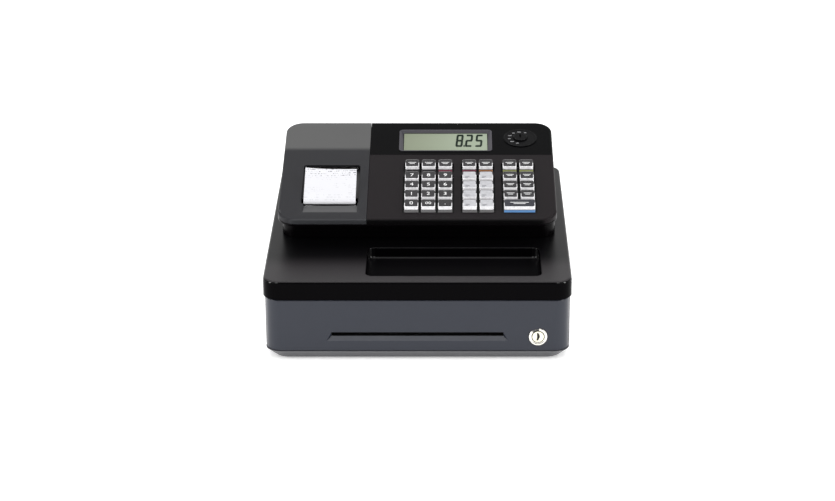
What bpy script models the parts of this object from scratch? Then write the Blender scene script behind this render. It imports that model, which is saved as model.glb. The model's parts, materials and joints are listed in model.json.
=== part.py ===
"""Cash register: drawer case, cash drawer, and a sloped unit with keys, display and printer.

Metres, +Z up. The origin is the centre of the footprint on the table, and the drawer faces -Y.
"""
import math

import bmesh
import bpy
from mathutils import Matrix, Vector

# ---------------------------------------------------------------- driving dimensions
WIDTH = 0.330                   # of the case; the cover stands out over its sides
COVER_OVERHANG = 0.0015
DEPTH = 0.360
GAP = 0.0003                    # between pieces that touch

# Drawer case
STRIP_BOTTOM = 0.002            # lower edge of the tapered strip, just off the table
STRIP_TOP = 0.0123
STRIP_TAPER = 0.009
COVER_BOTTOM = 0.073
COVER_TOP = 0.094
CASE_CORNER = 0.017
CASE_WALL = 0.003
FLOOR_TOP = 0.010
RUNNER_TOP = 0.0127
WRAP_BACK = -0.158              # where the drawer front's corners end
FOOT_X = 0.141
FOOT_Y = 0.155
FOOT_RADIUS = 0.009

# Recess in the top cover, for cards and coins
RECESS_LOW = Vector((-0.056, -0.163, 0.0815))
RECESS_HIGH = Vector((0.134, -0.083, 0.100))

# Drawer
FRONT_FACE = -0.1785
FRONT_BOTTOM = 0.0129
FRONT_TOP = 0.0718
SLOT_HALF = 0.093
SLOT_BOTTOM = 0.0288
SLOT_TOP = 0.0344
RAMP_HALF = 0.0985
RAMP_BOTTOM = 0.0235
RAMP_DEPTH = 0.0065
LOCK_X = 0.1303
LOCK_Z = 0.0293
BIN_HALF = 0.152
BIN_BACK = 0.150
BIN_BOTTOM = 0.0130
BIN_TOP = 0.069
BIN_WALL = 0.0025
BIN_FRONT = -0.1553             # inner face of the bin's front wall
DIVIDER = 0.001                 # half the thickness of a wall between bays
TRAY_BACK = -0.052              # back of the coin tray's space
TRAY_FLOOR = 0.040
TRAY_TOP = 0.0708
COIN_CUPS = 5
BILL_BAYS = 4
CLIP_HINGE_Y = 0.1440
CLIP_HINGE_Z = 0.062
CLIP_LENGTH = 0.115
CLIP_ANGLE = math.radians(21.0)

# Sloped unit: x across, s up the slope, h above the slope
UNIT_LEFT = -0.1560
UNIT_RIGHT = 0.1538
UNIT_CORNER = 0.020
SLOPE = math.radians(11.0)
SLOPE_FRONT_Y = -0.081
SLOPE_FRONT_Z = 0.127
SLOPE_LENGTH = 0.212
SHELL = 0.0025
SKIRT = 0.0065
PLATE = 0.0025
NECK_FRONT = -0.053
NECK_BACK = 0.150
NECK_BACK_LEAN = 0.3668         # how far the back wall leans in, for each unit up
SPLIT_X = -0.057                # between the printer cover and the keyboard side

# Keys
KEY_WIDTH = 0.0178
KEY_DEPTH = 0.0186
KEY_TOP = 0.0063
KEY_LEAN_SIDE = 0.0012           # how far a cap leans in at its sides, front and back
KEY_LEAN_FRONT = 0.0024
KEY_LEAN_BACK = 0.0008
KEY_FOOT = -0.0012
KEY_ROWS = (0.0140, 0.0338, 0.0536, 0.0734)
KEY_TOP_ROW = 0.0995
KEY_BLOCKS = {"left": (-0.0079, 0.0109, 0.0297), "middle": (0.0570, 0.0758), "right": (0.1028, 0.1218)}

# Display and mode switch
WINDOW_LOW = Vector((-0.0237, 0.1451))
WINDOW_HIGH = Vector((0.0837, 0.1930))
WINDOW_RIM = 0.0010              # how far the window's flange stands up from the lid
SCREEN_LOW = Vector((-0.0178, 0.1485))
SCREEN_HIGH = Vector((0.0778, 0.1889))
SCREEN_TOP = -0.0020             # the screen lies this deep in its window
DIAL_X = 0.1166
DIAL_S = 0.1745
DIAL_RADIUS = 0.0192
PLUG_RADIUS = 0.0082

# Printer
PAPER_X = -0.0992
PAPER_WIDTH = 0.058
MOUTH_LOW = Vector((-0.1312, 0.033))
MOUTH_HIGH = Vector((-0.0671, 0.115))
ROLL_RADIUS = 0.025
ROLL_Y = 0.075
ROLL_Z = 0.1275
PLATEN_RADIUS = 0.006
PLATEN_Y = -0.0406
PLATEN_Z = 0.1185
ARM_Y = -0.012
ARM_Z = 0.116


# ---------------------------------------------------------------- scene and modelling tools
for old in list(bpy.data.objects):
    bpy.data.objects.remove(old, do_unlink=True)

PARTS = bpy.data.collections.new("cash_register")
CUTTERS = bpy.data.collections.new("cutters")
bpy.context.scene.collection.children.link(PARTS)
bpy.context.scene.collection.children.link(CUTTERS)


def frame_empty(name, location, tilt):
    """An empty that carries pieces in a tilted plane."""
    empty = bpy.data.objects.new(name, None)
    empty.location = location
    empty.rotation_euler = (tilt, 0.0, 0.0)
    PARTS.objects.link(empty)
    return empty


SLOPE_FRAME = frame_empty("slope_frame", (0.0, SLOPE_FRONT_Y, SLOPE_FRONT_Z), SLOPE)


def material(name, colour, roughness, metallic=0.0):
    """A Principled material of one plain colour."""
    made = bpy.data.materials.new(name)
    made.use_nodes = True
    shader = made.node_tree.nodes["Principled BSDF"]
    shader.inputs["Base Color"].default_value = (*colour, 1.0)
    shader.inputs["Roughness"].default_value = roughness
    shader.inputs["Metallic"].default_value = metallic
    made.diffuse_color = (*colour, 1.0)
    return made


BLACK_GLOSS = ((0.012, 0.011, 0.013), 0.15)
BLACK_SATIN = ((0.030, 0.027, 0.029), 0.35)
DARK_GREY = ((0.055, 0.055, 0.060), 0.50)
SLATE = ((0.060, 0.066, 0.085), 0.40)
STRIP_GREY = ((0.110, 0.112, 0.115), 0.45)
BIN_GREY = ((0.070, 0.070, 0.072), 0.55)
KEY_GREY = ((0.045, 0.045, 0.048), 0.20)
KEY_WHITE = ((0.750, 0.750, 0.740), 0.20)
KEY_BLUE = ((0.060, 0.220, 0.520), 0.20)
SCREEN_GREEN = ((0.360, 0.420, 0.300), 0.10)
NICKEL = ((0.620, 0.600, 0.560), 0.25, 1.0)
STEEL = ((0.560, 0.560, 0.570), 0.35, 1.0)
BOARD_GREEN = ((0.020, 0.120, 0.060), 0.45)
RUBBER = ((0.020, 0.020, 0.020), 0.80)
PAPER = ((0.850, 0.850, 0.830), 0.70)


def box(low, high):
    """A box from its two far corners, as a bmesh."""
    low = Vector(low)
    high = Vector(high)
    bm = bmesh.new()
    bmesh.ops.create_cube(bm, size=1.0)
    bmesh.ops.transform(bm, matrix=Matrix.Diagonal((*(high - low), 1.0)), verts=bm.verts)
    bmesh.ops.translate(bm, vec=(low + high) / 2.0, verts=bm.verts)
    return bm


def round_uprights(bm, radius, segments=4, keep=lambda middle: True):
    """Round the edges that run mostly along Z."""
    edges = []
    for edge in bm.edges:
        run = edge.verts[1].co - edge.verts[0].co
        middle = (edge.verts[1].co + edge.verts[0].co) / 2.0
        if abs(run.z) > 0.9 * run.length and keep(middle):
            edges.append(edge)
    bmesh.ops.bevel(bm, geom=edges, offset=radius, segments=segments, profile=0.5, affect="EDGES")
    return bm


def round_rim(bm, height, radius, segments=2):
    """Round the edges that lie flat at one height."""
    edges = [edge for edge in bm.edges if all(abs(vert.co.z - height) < 1e-6 for vert in edge.verts)]
    bmesh.ops.bevel(bm, geom=edges, offset=radius, segments=segments, profile=0.5, affect="EDGES")
    return bm


def rod(radius, start, end, sides=24):
    """A cylinder between two points, as a bmesh."""
    start = Vector(start)
    end = Vector(end)
    axis = end - start
    bm = bmesh.new()
    bmesh.ops.create_cone(bm, cap_ends=True, segments=sides, radius1=radius, radius2=radius,
                          depth=axis.length)
    turn = Vector((0.0, 0.0, 1.0)).rotation_difference(axis).to_matrix().to_4x4()
    bmesh.ops.transform(bm, matrix=Matrix.Translation((start + end) / 2.0) @ turn, verts=bm.verts)
    return bm


def new_object(name, bm, collection, parent=None):
    """Turn a bmesh into an object."""
    mesh = bpy.data.meshes.new(name)
    bmesh.ops.recalc_face_normals(bm, faces=bm.faces)
    bm.to_mesh(mesh)
    bm.free()
    made = bpy.data.objects.new(name, mesh)
    made.parent = parent
    collection.objects.link(made)
    return made


def part(name, bm, look, parent=None):
    """A named sub-part with its own material."""
    made = new_object(name, bm, PARTS, parent)
    made.data.materials.append(material(name, *look))
    return made


def combine(target, bm, operation, parent=None):
    """Cut a tool out of a part, or join it on."""
    tool = new_object(target.name + "_tool", bm, CUTTERS, parent)
    tool.hide_render = True
    tool.display_type = "WIRE"
    modifier = target.modifiers.new(operation.lower(), "BOOLEAN")
    modifier.operation = operation
    modifier.object = tool
    modifier.solver = "EXACT"


def cut(target, bm, parent=None):
    combine(target, bm, "DIFFERENCE", parent)


def join(target, bm, parent=None):
    combine(target, bm, "UNION", parent)


def turned(name, profile, look, parent=None, sides=32):
    """A closed profile of (radius, height) points, turned about local Z with a Screw modifier."""
    bm = bmesh.new()
    verts = [bm.verts.new((radius, 0.0, height)) for radius, height in profile]
    for first, second in zip(verts, verts[1:] + verts[:1]):
        bm.edges.new((first, second))
    made = new_object(name, bm, PARTS, parent)
    screw = made.modifiers.new("turn", "SCREW")
    screw.steps = sides
    screw.render_steps = sides
    screw.use_merge_vertices = True
    screw.merge_threshold = 0.00005
    made.data.materials.append(material(name, *look))
    return made


# ---------------------------------------------------------------- drawer case
def base_case():
    """Open-fronted tub with a tapered strip round its foot, runners, feet and an inlet hole."""
    half_x = WIDTH / 2.0
    half_y = DEPTH / 2.0
    tub = box((-half_x, -half_y, STRIP_BOTTOM), (half_x, half_y, COVER_BOTTOM - GAP))
    round_uprights(tub, CASE_CORNER)
    everything = tub.verts[:] + tub.edges[:] + tub.faces[:]
    bmesh.ops.bisect_plane(tub, geom=everything, plane_co=(0.0, 0.0, STRIP_TOP), plane_no=(0.0, 0.0, 1.0))
    for vert in tub.verts:
        if vert.co.z < STRIP_BOTTOM + 1e-6:
            vert.co.x *= 1.0 - STRIP_TAPER / half_x
            vert.co.y *= 1.0 - STRIP_TAPER / half_y
    case = part("base_case", tub, STRIP_GREY)
    inner_x = half_x - CASE_WALL
    inner_y = half_y - CASE_WALL
    cut(case, round_uprights(box((-inner_x, -inner_y, FLOOR_TOP), (inner_x, inner_y, 0.1)), 0.014))
    cut(case, box((-0.2, -0.2, STRIP_TOP), (0.2, WRAP_BACK + GAP, 0.1)))
    cut(case, round_uprights(box((-0.150, -0.165, -0.001), (0.150, 0.165, 0.006)), 0.010))
    for side in (-1.0, 1.0):
        join(case, box((side * 0.120 - 0.003, -0.150, 0.008), (side * 0.120 + 0.003, 0.165, RUNNER_TOP)))
        for end in (-1.0, 1.0):
            at = (side * FOOT_X, end * FOOT_Y)
            join(case, rod(FOOT_RADIUS, (*at, 0.0), (*at, 0.0075), 20))
    cut(case, box((0.108, 0.160, 0.030), (0.128, 0.200, 0.046)))


def power_inlet():
    """Low-voltage socket in the back wall."""
    inlet = part("power_inlet", box((0.1084, 0.163, 0.0304), (0.1276, 0.1797, 0.0456)), BLACK_SATIN)
    cut(inlet, box((0.112, 0.168, 0.034), (0.124, 0.190, 0.042)))


def top_cover():
    """Lid of the drawer case, with a recess for cards and coins formed in it."""
    half_x = WIDTH / 2.0 + COVER_OVERHANG
    half_y = DEPTH / 2.0
    lid = round_uprights(box((-half_x, -half_y, COVER_BOTTOM), (half_x, half_y, COVER_TOP)), CASE_CORNER)
    cover = part("top_cover", round_rim(lid, COVER_TOP, 0.003), BLACK_GLOSS)
    inner_x = half_x - SHELL
    inner_y = half_y - SHELL
    hollow = box((-inner_x, -inner_y, 0.070), (inner_x, inner_y, COVER_TOP - 0.003))
    cut(cover, round_uprights(hollow, CASE_CORNER - SHELL))
    wall = Vector((SHELL, SHELL, SHELL))
    pan = box(RECESS_LOW - wall, Vector((RECESS_HIGH.x, RECESS_HIGH.y, COVER_TOP - 0.0015)) + wall * 0.5)
    for vert in pan.verts:
        vert.co.z = min(vert.co.z, COVER_TOP - 0.001)
    join(cover, round_uprights(pan, 0.0105))
    cut(cover, round_uprights(box(RECESS_LOW, RECESS_HIGH), 0.008))


# ---------------------------------------------------------------- drawer
def drawer_front():
    """Slate front that wraps both corners, with the media slot, its ramp and the lock hole."""
    half = WIDTH / 2.0 - 0.001
    front = box((-half, FRONT_FACE, FRONT_BOTTOM), (half, WRAP_BACK, FRONT_TOP))
    round_uprights(front, CASE_CORNER - 0.0005, 5, lambda middle: middle.y < -0.17)
    panel = part("drawer_front", round_rim(front, FRONT_TOP, 0.001, 1), SLATE)
    hollow = box((-half + 0.0065, -0.170, 0.0), (half - 0.0065, -0.140, 0.0675))
    cut(panel, hollow)
    cut(panel, box((-SLOT_HALF, -0.190, SLOT_BOTTOM), (SLOT_HALF, -0.165, SLOT_TOP)))
    ramp = box((-RAMP_HALF, FRONT_FACE - 0.0005, RAMP_BOTTOM), (RAMP_HALF, FRONT_FACE + RAMP_DEPTH, SLOT_TOP))
    for vert in ramp.verts:
        at_back = vert.co.y > FRONT_FACE
        at_top = vert.co.z > SLOT_BOTTOM
        if at_back and not at_top:
            vert.co.z = SLOT_BOTTOM
        if at_back or at_top:
            vert.co.x = math.copysign(SLOT_HALF, vert.co.x)
    cut(panel, ramp)
    cut(panel, rod(0.0086, (LOCK_X, -0.190, LOCK_Z), (LOCK_X, -0.165, LOCK_Z)))


def bay_span(index):
    """Left and right inner faces of one bill bay."""
    inner = BIN_HALF - BIN_WALL
    pitch = 2.0 * inner / BILL_BAYS
    left = -inner + index * pitch
    right = left + pitch
    return (left + (DIVIDER if index else 0.0), right - (DIVIDER if index < BILL_BAYS - 1 else 0.0))


def drawer_bin():
    """Moulded tub with bill bays behind, and an open space for the coin tray in front."""
    outer = box((-BIN_HALF, WRAP_BACK + GAP, BIN_BOTTOM), (BIN_HALF, BIN_BACK, BIN_TOP))
    tub = part("drawer_bin", outer, BIN_GREY)
    inner = BIN_HALF - BIN_WALL
    floor = BIN_BOTTOM + BIN_WALL
    cut(tub, box((-inner, BIN_FRONT, floor), (inner, TRAY_BACK, 0.08)))
    cut(tub, box((-0.095, -0.162, 0.0275), (0.095, BIN_FRONT + 0.001, 0.036)))
    for index in range(BILL_BAYS):
        left, right = bay_span(index)
        cut(tub, box((left, TRAY_BACK + 0.004, floor), (right, BIN_BACK - BIN_WALL, 0.08)))


def coin_tray():
    """Coin tray with a row of cups, hung by its flange on the bin's walls."""
    inner = BIN_HALF - BIN_WALL
    low = (-inner + GAP, BIN_FRONT + GAP, TRAY_FLOOR)
    tray = part("coin_tray", box(low, (inner - GAP, TRAY_BACK - GAP, TRAY_TOP)), BLACK_SATIN)
    join(tray, box((-BIN_HALF, WRAP_BACK + GAP, BIN_TOP + GAP), (BIN_HALF, TRAY_BACK + 0.003, TRAY_TOP)))
    pitch = 2.0 * (inner - 0.001) / COIN_CUPS
    for cup in range(COIN_CUPS):
        left = -inner + 0.001 + cup * pitch
        hollow = box((left + 0.001, low[1] + 0.002, TRAY_FLOOR + 0.0025),
                     (left + pitch - 0.001, TRAY_BACK - 0.0023, 0.08))
        low_edges = [edge for edge in hollow.edges
                     if all(vert.co.z < 0.05 for vert in edge.verts)
                     and abs(edge.verts[0].co.y - edge.verts[1].co.y) < 1e-6]
        bmesh.ops.bevel(hollow, geom=low_edges, offset=0.012, segments=3, profile=0.5, affect="EDGES")
        cut(tray, hollow)


def bill_clip(index):
    """Arm that presses on the notes of one bay, on an axle between the bay's walls."""
    left, right = bay_span(index)
    half = (right - left) / 2.0 - GAP
    clip = part("bill_clip_%d" % (index + 1), rod(0.0025, (-half, 0.0, 0.0), (half, 0.0, 0.0), 12), STEEL)
    clip.location = ((left + right) / 2.0, CLIP_HINGE_Y, CLIP_HINGE_Z)
    arm = box((-0.013, -CLIP_LENGTH, -0.0008), (0.013, 0.0, 0.0008))
    bmesh.ops.rotate(arm, cent=(0.0, 0.0, 0.0), matrix=Matrix.Rotation(CLIP_ANGLE, 3, "X"), verts=arm.verts)
    tip = Vector((0.0, -CLIP_LENGTH * math.cos(CLIP_ANGLE), -CLIP_LENGTH * math.sin(CLIP_ANGLE)))
    reach = Vector((0.015, 0.0, 0.0))
    join(clip, arm, clip)
    join(clip, rod(0.0024, tip - reach, tip + reach, 10), clip)


def lock_housing():
    """Nickel ring and barrel of the drawer lock, its axis along local Z and its front at the top."""
    bore = 0.0071
    barrel = 0.0083
    rim = 0.0100
    profile = ((bore, 0.0015), (rim - 0.0006, 0.0015), (rim, 0.0010), (rim, GAP), (barrel, GAP),
               (barrel, -0.0145), (bore, -0.0145))
    housing = turned("lock_housing", profile, NICKEL)
    housing.location = (LOCK_X, FRONT_FACE, LOCK_Z)
    housing.rotation_euler = (math.radians(90.0), 0.0, 0.0)


def lock_plug():
    """Key plug, with its keyway in front and its cam behind the drawer front."""
    pivot = (LOCK_X, FRONT_FACE, LOCK_Z)
    plug = part("lock_plug", rod(0.0068, (0.0, -0.0008, 0.0), (0.0, 0.0140, 0.0), 28), NICKEL)
    plug.location = pivot
    join(plug, rod(0.004, (0.0, 0.0130, 0.0), (0.0, 0.0175, 0.0), 12), plug)
    join(plug, box((0.0, 0.0152, -0.003), (0.0113, 0.0175, 0.003)), plug)
    cut(plug, box((-0.0007, -0.003, -0.004), (0.0007, 0.004, 0.004)), plug)


# ---------------------------------------------------------------- sloped unit
def lean_back(bm, low_y, low_z):
    """Lean a box's back wall in, from a line at its foot."""
    back = max(vert.co.y for vert in bm.verts)
    for vert in bm.verts:
        if vert.co.y > back - 1e-6:
            vert.co.y = low_y - (vert.co.z - low_z) * NECK_BACK_LEAN
    return bm


def unit_lower_case():
    """Neck that stands on the top cover, with a plate that reaches forward under the keys."""
    low = COVER_TOP + GAP
    neck = lean_back(box((-0.153, NECK_FRONT, low), (0.153, NECK_BACK, 0.175)), NECK_BACK, low)
    case = part("unit_lower_case", round_uprights(neck, 0.018, 4), BLACK_GLOSS)
    top = -SKIRT - GAP
    plate = box((UNIT_LEFT, 0.0, top - PLATE), (UNIT_RIGHT, SLOPE_LENGTH, top + 0.001))
    join(case, round_uprights(plate, UNIT_CORNER), SLOPE_FRAME)
    cut(case, box((-0.3, -0.1, top), (0.3, 0.3, 0.1)), SLOPE_FRAME)
    hollow = box((-0.150, NECK_FRONT + 0.003, low + 0.003), (0.150, NECK_BACK, 0.180))
    cut(case, round_uprights(lean_back(hollow, NECK_BACK - 0.0033, low), 0.015))


def slope_shell(name, look, left, right):
    """One side of the sloped lid: the rounded slab, split across and hollowed from below."""
    slab = box((UNIT_LEFT, 0.0, -SKIRT), (UNIT_RIGHT, SLOPE_LENGTH, 0.0))
    round_uprights(slab, UNIT_CORNER, 5)
    shell = part(name, round_rim(slab, 0.0, 0.0024), look, SLOPE_FRAME)
    cut(shell, box((-0.3, -0.1, -0.1), (left, 0.4, 0.1)), SLOPE_FRAME)
    cut(shell, box((right, -0.1, -0.1), (0.3, 0.4, 0.1)), SLOPE_FRAME)
    hollow = box((max(left, UNIT_LEFT) + SHELL, SHELL, -0.02),
                 (min(right, UNIT_RIGHT) - SHELL, SLOPE_LENGTH - SHELL, -SHELL))
    outside = (lambda middle: middle.x < SPLIT_X) if right < 0.0 else (lambda middle: middle.x > 0.0)
    cut(shell, round_uprights(hollow, UNIT_CORNER - SHELL, 4, outside), SLOPE_FRAME)
    return shell


def unit_upper_case():
    """Keyboard and display side of the sloped lid, with openings for keys, screen and switch."""
    case = slope_shell("unit_upper_case", BLACK_SATIN, SPLIT_X + 0.0002, 0.3)
    margin = 0.0008
    for columns in KEY_BLOCKS.values():
        left = columns[0] - KEY_WIDTH / 2.0 - margin
        right = columns[-1] + KEY_WIDTH / 2.0 + margin
        for first, last in ((KEY_ROWS[0], KEY_ROWS[-1]), (KEY_TOP_ROW, KEY_TOP_ROW)):
            low = (left, first - margin, -0.01)
            high = (right, last + KEY_DEPTH + margin, 0.01)
            cut(case, box(low, high), SLOPE_FRAME)
    flange = Vector((0.0006, 0.0006))
    cut(case, box((*(WINDOW_LOW + flange), -0.01), (*(WINDOW_HIGH - flange), 0.01)), SLOPE_FRAME)
    cut(case, rod(PLUG_RADIUS + 0.0004, (DIAL_X, DIAL_S, -0.01), (DIAL_X, DIAL_S, 0.01)), SLOPE_FRAME)


def printer_cover():
    """Hinged lid over the printer, with the paper mouth and the ramp in front of it."""
    cover = slope_shell("printer_cover", DARK_GREY, -0.3, SPLIT_X - 0.0002)
    pad = box((MOUTH_LOW.x - 0.003, 0.011, -0.006), (MOUTH_HIGH.x + 0.003, MOUTH_LOW.y + 0.003, -0.002))
    join(cover, pad, SLOPE_FRAME)
    mouth = box((*MOUTH_LOW, -0.01), (*MOUTH_HIGH, 0.01))
    cut(cover, round_uprights(mouth, 0.003, 2), SLOPE_FRAME)
    ramp = box((MOUTH_LOW.x + 0.003, 0.0146, 0.0), (MOUTH_HIGH.x - 0.001, MOUTH_LOW.y + 0.004, 0.005))
    for vert in ramp.verts:
        if vert.co.z < 0.001 and vert.co.y > 0.02:
            vert.co.z = -0.0040
    cut(cover, ramp, SLOPE_FRAME)


def keyboard_board():
    """Contact board that the keys press on."""
    part("keyboard_board", box((-0.018, 0.009, -0.0064), (0.136, 0.124, -0.0049)), BOARD_GREEN, SLOPE_FRAME)


def key(name, x, s, width, look):
    """One tapered key cap, with its origin on the slope under its middle."""
    cap = box((-width / 2.0, -KEY_DEPTH / 2.0, KEY_FOOT), (width / 2.0, KEY_DEPTH / 2.0, KEY_TOP))
    for vert in cap.verts:
        if vert.co.z > 0.0:
            vert.co.x -= math.copysign(KEY_LEAN_SIDE, vert.co.x)
            vert.co.y += -KEY_LEAN_BACK if vert.co.y > 0.0 else KEY_LEAN_FRONT
    round_uprights(cap, 0.0012, 1)
    made = part(name, cap, look, SLOPE_FRAME)
    made.location = (x, s + KEY_DEPTH / 2.0, 0.0)


def keys():
    """All the keys: three blocks of columns, the row above them, and one double-width key."""
    looks = {"left": KEY_GREY, "middle": KEY_WHITE, "right": KEY_GREY}
    for block, columns in KEY_BLOCKS.items():
        for column, x in enumerate(columns):
            key("key_%s_top_%d" % (block, column + 1), x, KEY_TOP_ROW, KEY_WIDTH, KEY_GREY)
            for row, s in enumerate(KEY_ROWS):
                if block != "right" or row > 0:
                    name = "key_%s_%d_%d" % (block, row + 1, column + 1)
                    key(name, x, s, KEY_WIDTH, looks[block])
    left, right = KEY_BLOCKS["right"]
    key("key_total", (left + right) / 2.0, KEY_ROWS[0], KEY_WIDTH + right - left, KEY_BLUE)


def display_window():
    """Window let into the lid: a thin flange, and sides that slope down to the screen."""
    flange = round_uprights(box((*WINDOW_LOW, GAP), (*WINDOW_HIGH, WINDOW_RIM)), 0.004)
    window = part("display_window", flange, DARK_GREY, SLOPE_FRAME)
    inset = Vector((0.0009, 0.0009))
    body = box((*(WINDOW_LOW + inset), SCREEN_TOP), (*(WINDOW_HIGH - inset), WINDOW_RIM - 0.0002))
    join(window, round_uprights(body, 0.0031), SLOPE_FRAME)
    well = box((*SCREEN_LOW, SCREEN_TOP - 0.001), (*SCREEN_HIGH, WINDOW_RIM + 0.0001))
    lip = Vector((0.0014, 0.0014))
    for vert in well.verts:
        if vert.co.z > 0.0:
            for axis in (0, 1):
                near = abs(vert.co[axis] - SCREEN_LOW[axis]) < 1e-6
                vert.co[axis] = (WINDOW_LOW + lip)[axis] if near else (WINDOW_HIGH - lip)[axis]
    cut(window, well, SLOPE_FRAME)


def lcd_module():
    """Display module, its glass just under the window."""
    edge = Vector((0.0006, 0.0006))
    top = SCREEN_TOP - GAP
    glass = box((*(SCREEN_LOW - edge), top - 0.0055), (*(SCREEN_HIGH + edge), top))
    part("lcd_module", glass, SCREEN_GREEN, SLOPE_FRAME)


def mode_dial():
    """Fixed ring of marks round the mode switch."""
    inner = PLUG_RADIUS + 0.0004
    profile = ((inner, 0.0012), (DIAL_RADIUS - 0.0006, 0.0012), (DIAL_RADIUS, 0.0008), (DIAL_RADIUS, GAP),
               (inner, GAP))
    turned("mode_dial", profile, BLACK_SATIN, SLOPE_FRAME).location = (DIAL_X, DIAL_S, 0.0)


def mode_plug():
    """Key switch that turns in the ring."""
    plug = part("mode_plug", rod(PLUG_RADIUS, (0.0, 0.0, -0.005), (0.0, 0.0, 0.0030), 28), BLACK_GLOSS,
                SLOPE_FRAME)
    plug.location = (DIAL_X, DIAL_S, 0.0)
    cut(plug, box((-0.0008, -0.0048, 0.001), (0.0008, 0.0048, 0.01)), plug)


def rear_display_window():
    """Customer's display window on the leaning back wall."""
    lean = math.atan(NECK_BACK_LEAN)
    height = 0.130
    wall = NECK_BACK - (height - COVER_TOP - GAP) * NECK_BACK_LEAN
    window = part("rear_display_window", box((-0.045, GAP, -0.013), (0.045, 0.0018, 0.013)), BLACK_GLOSS)
    window.location = (0.030, wall, height)
    window.rotation_euler = (lean, 0.0, 0.0)


# ---------------------------------------------------------------- printer
def printer_frame():
    """Box frame under the printer cover: base, two cheeks and the deck below the mouth."""
    low = COVER_TOP + GAP + 0.0033
    deck_top = -SKIRT - 0.0004
    frame = part("printer_frame", box((-0.1342, -0.046, low), (-0.0642, 0.036, 0.180)), BLACK_SATIN)
    cut(frame, box((-0.3, -0.1, deck_top), (0.3, 0.3, 0.1)), SLOPE_FRAME)
    hollow = box((-0.1312, -0.060, 0.0), (-0.0672, 0.060, 0.08))
    for vert in hollow.verts:
        rise = (vert.co.y - SLOPE_FRONT_Y) * math.tan(SLOPE)
        ceiling = SLOPE_FRONT_Z + rise + (deck_top - 0.002) / math.cos(SLOPE)
        vert.co.z = ceiling if vert.co.z > 0.01 else low + 0.003
    cut(frame, hollow)
    cut(frame, box((-0.1312, 0.0, -0.03), (-0.0672, 0.055, 0.01)), SLOPE_FRAME)


def platen_arm():
    """Bail that carries the platen roller and tips up to let the paper through."""
    pivot = Vector((PAPER_X, ARM_Y, ARM_Z))
    reach = Vector((0.0, PLATEN_Y - ARM_Y, PLATEN_Z - ARM_Z))
    half = 0.0316
    arm = part("platen_arm", rod(0.0025, (-half, 0.0, 0.0), (half, 0.0, 0.0), 12), STEEL)
    arm.location = pivot
    for side in (-1.0, 1.0):
        outer = side * half
        inner = side * (half - 0.0025)
        cheek = box((min(outer, inner), reach.y - 0.004, -0.0035), (max(outer, inner), 0.003, 0.0065))
        join(arm, cheek, arm)
        hole = rod(0.0023, (side * 0.04, *reach.yz), (side * 0.02, *reach.yz), 16)
        cut(arm, hole, arm)


def platen_roller():
    """Rubber roller that feeds the paper, with a stub at each end."""
    half = 0.0285
    stub = 0.0312
    roller = part("platen_roller", rod(PLATEN_RADIUS, (-half, 0.0, 0.0), (half, 0.0, 0.0), 20), RUBBER)
    roller.location = (PAPER_X, PLATEN_Y, PLATEN_Z)
    join(roller, rod(0.002, (-stub, 0.0, 0.0), (stub, 0.0, 0.0), 16), roller)


def paper_roll():
    """Roll of receipt paper on its core, lying across the unit."""
    half = PAPER_WIDTH / 2.0
    profile = ((0.006, half), (ROLL_RADIUS, half), (ROLL_RADIUS, -half), (0.006, -half))
    roll = turned("paper_roll", profile, PAPER, None, 40)
    roll.location = (PAPER_X, ROLL_Y, ROLL_Z)
    roll.rotation_euler = (0.0, math.radians(90.0), 0.0)


def receipt():
    """Strip of paper that stands out of the mouth and leans back over it."""
    points = [Vector(p) for p in ((0.0355, -0.0022), (0.0370, 0.0090), (0.0700, 0.0050), (0.1000, 0.0110))]
    bm = bmesh.new()
    steps = 10
    rows = []
    for step in range(steps + 1):
        t = step / steps
        weights = ((1 - t) ** 3, 3 * t * (1 - t) ** 2, 3 * t * t * (1 - t), t ** 3)
        s, h = sum((point * weight for point, weight in zip(points, weights)), Vector((0.0, 0.0)))
        rows.append([bm.verts.new((PAPER_X + side * PAPER_WIDTH / 2.0, s, h)) for side in (-1.0, 1.0)])
    for low, high in zip(rows, rows[1:]):
        bm.faces.new((low[0], low[1], high[1], high[0]))
    strip = part("receipt", bm, PAPER, SLOPE_FRAME)
    thick = strip.modifiers.new("thickness", "SOLIDIFY")
    thick.thickness = 0.0003
    thick.offset = 0.0


base_case()
power_inlet()
top_cover()
drawer_front()
drawer_bin()
coin_tray()
for bay in range(BILL_BAYS):
    bill_clip(bay)
lock_housing()
lock_plug()
unit_lower_case()
unit_upper_case()
printer_cover()
keyboard_board()
keys()
display_window()
lcd_module()
mode_dial()
mode_plug()
rear_display_window()
printer_frame()
platen_arm()
platen_roller()
paper_roll()
receipt()
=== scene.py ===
"""Looks of the cash register: moulded shells, clear key caps, display, lock and printer.

Metres, +Z up. Pieces on the sloped lid are modelled level, with x across, y up the slope and
z above it, and are then laid on the slope.
"""
import json
import math

import bmesh
import bpy
from mathutils import Matrix, Vector


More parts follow.
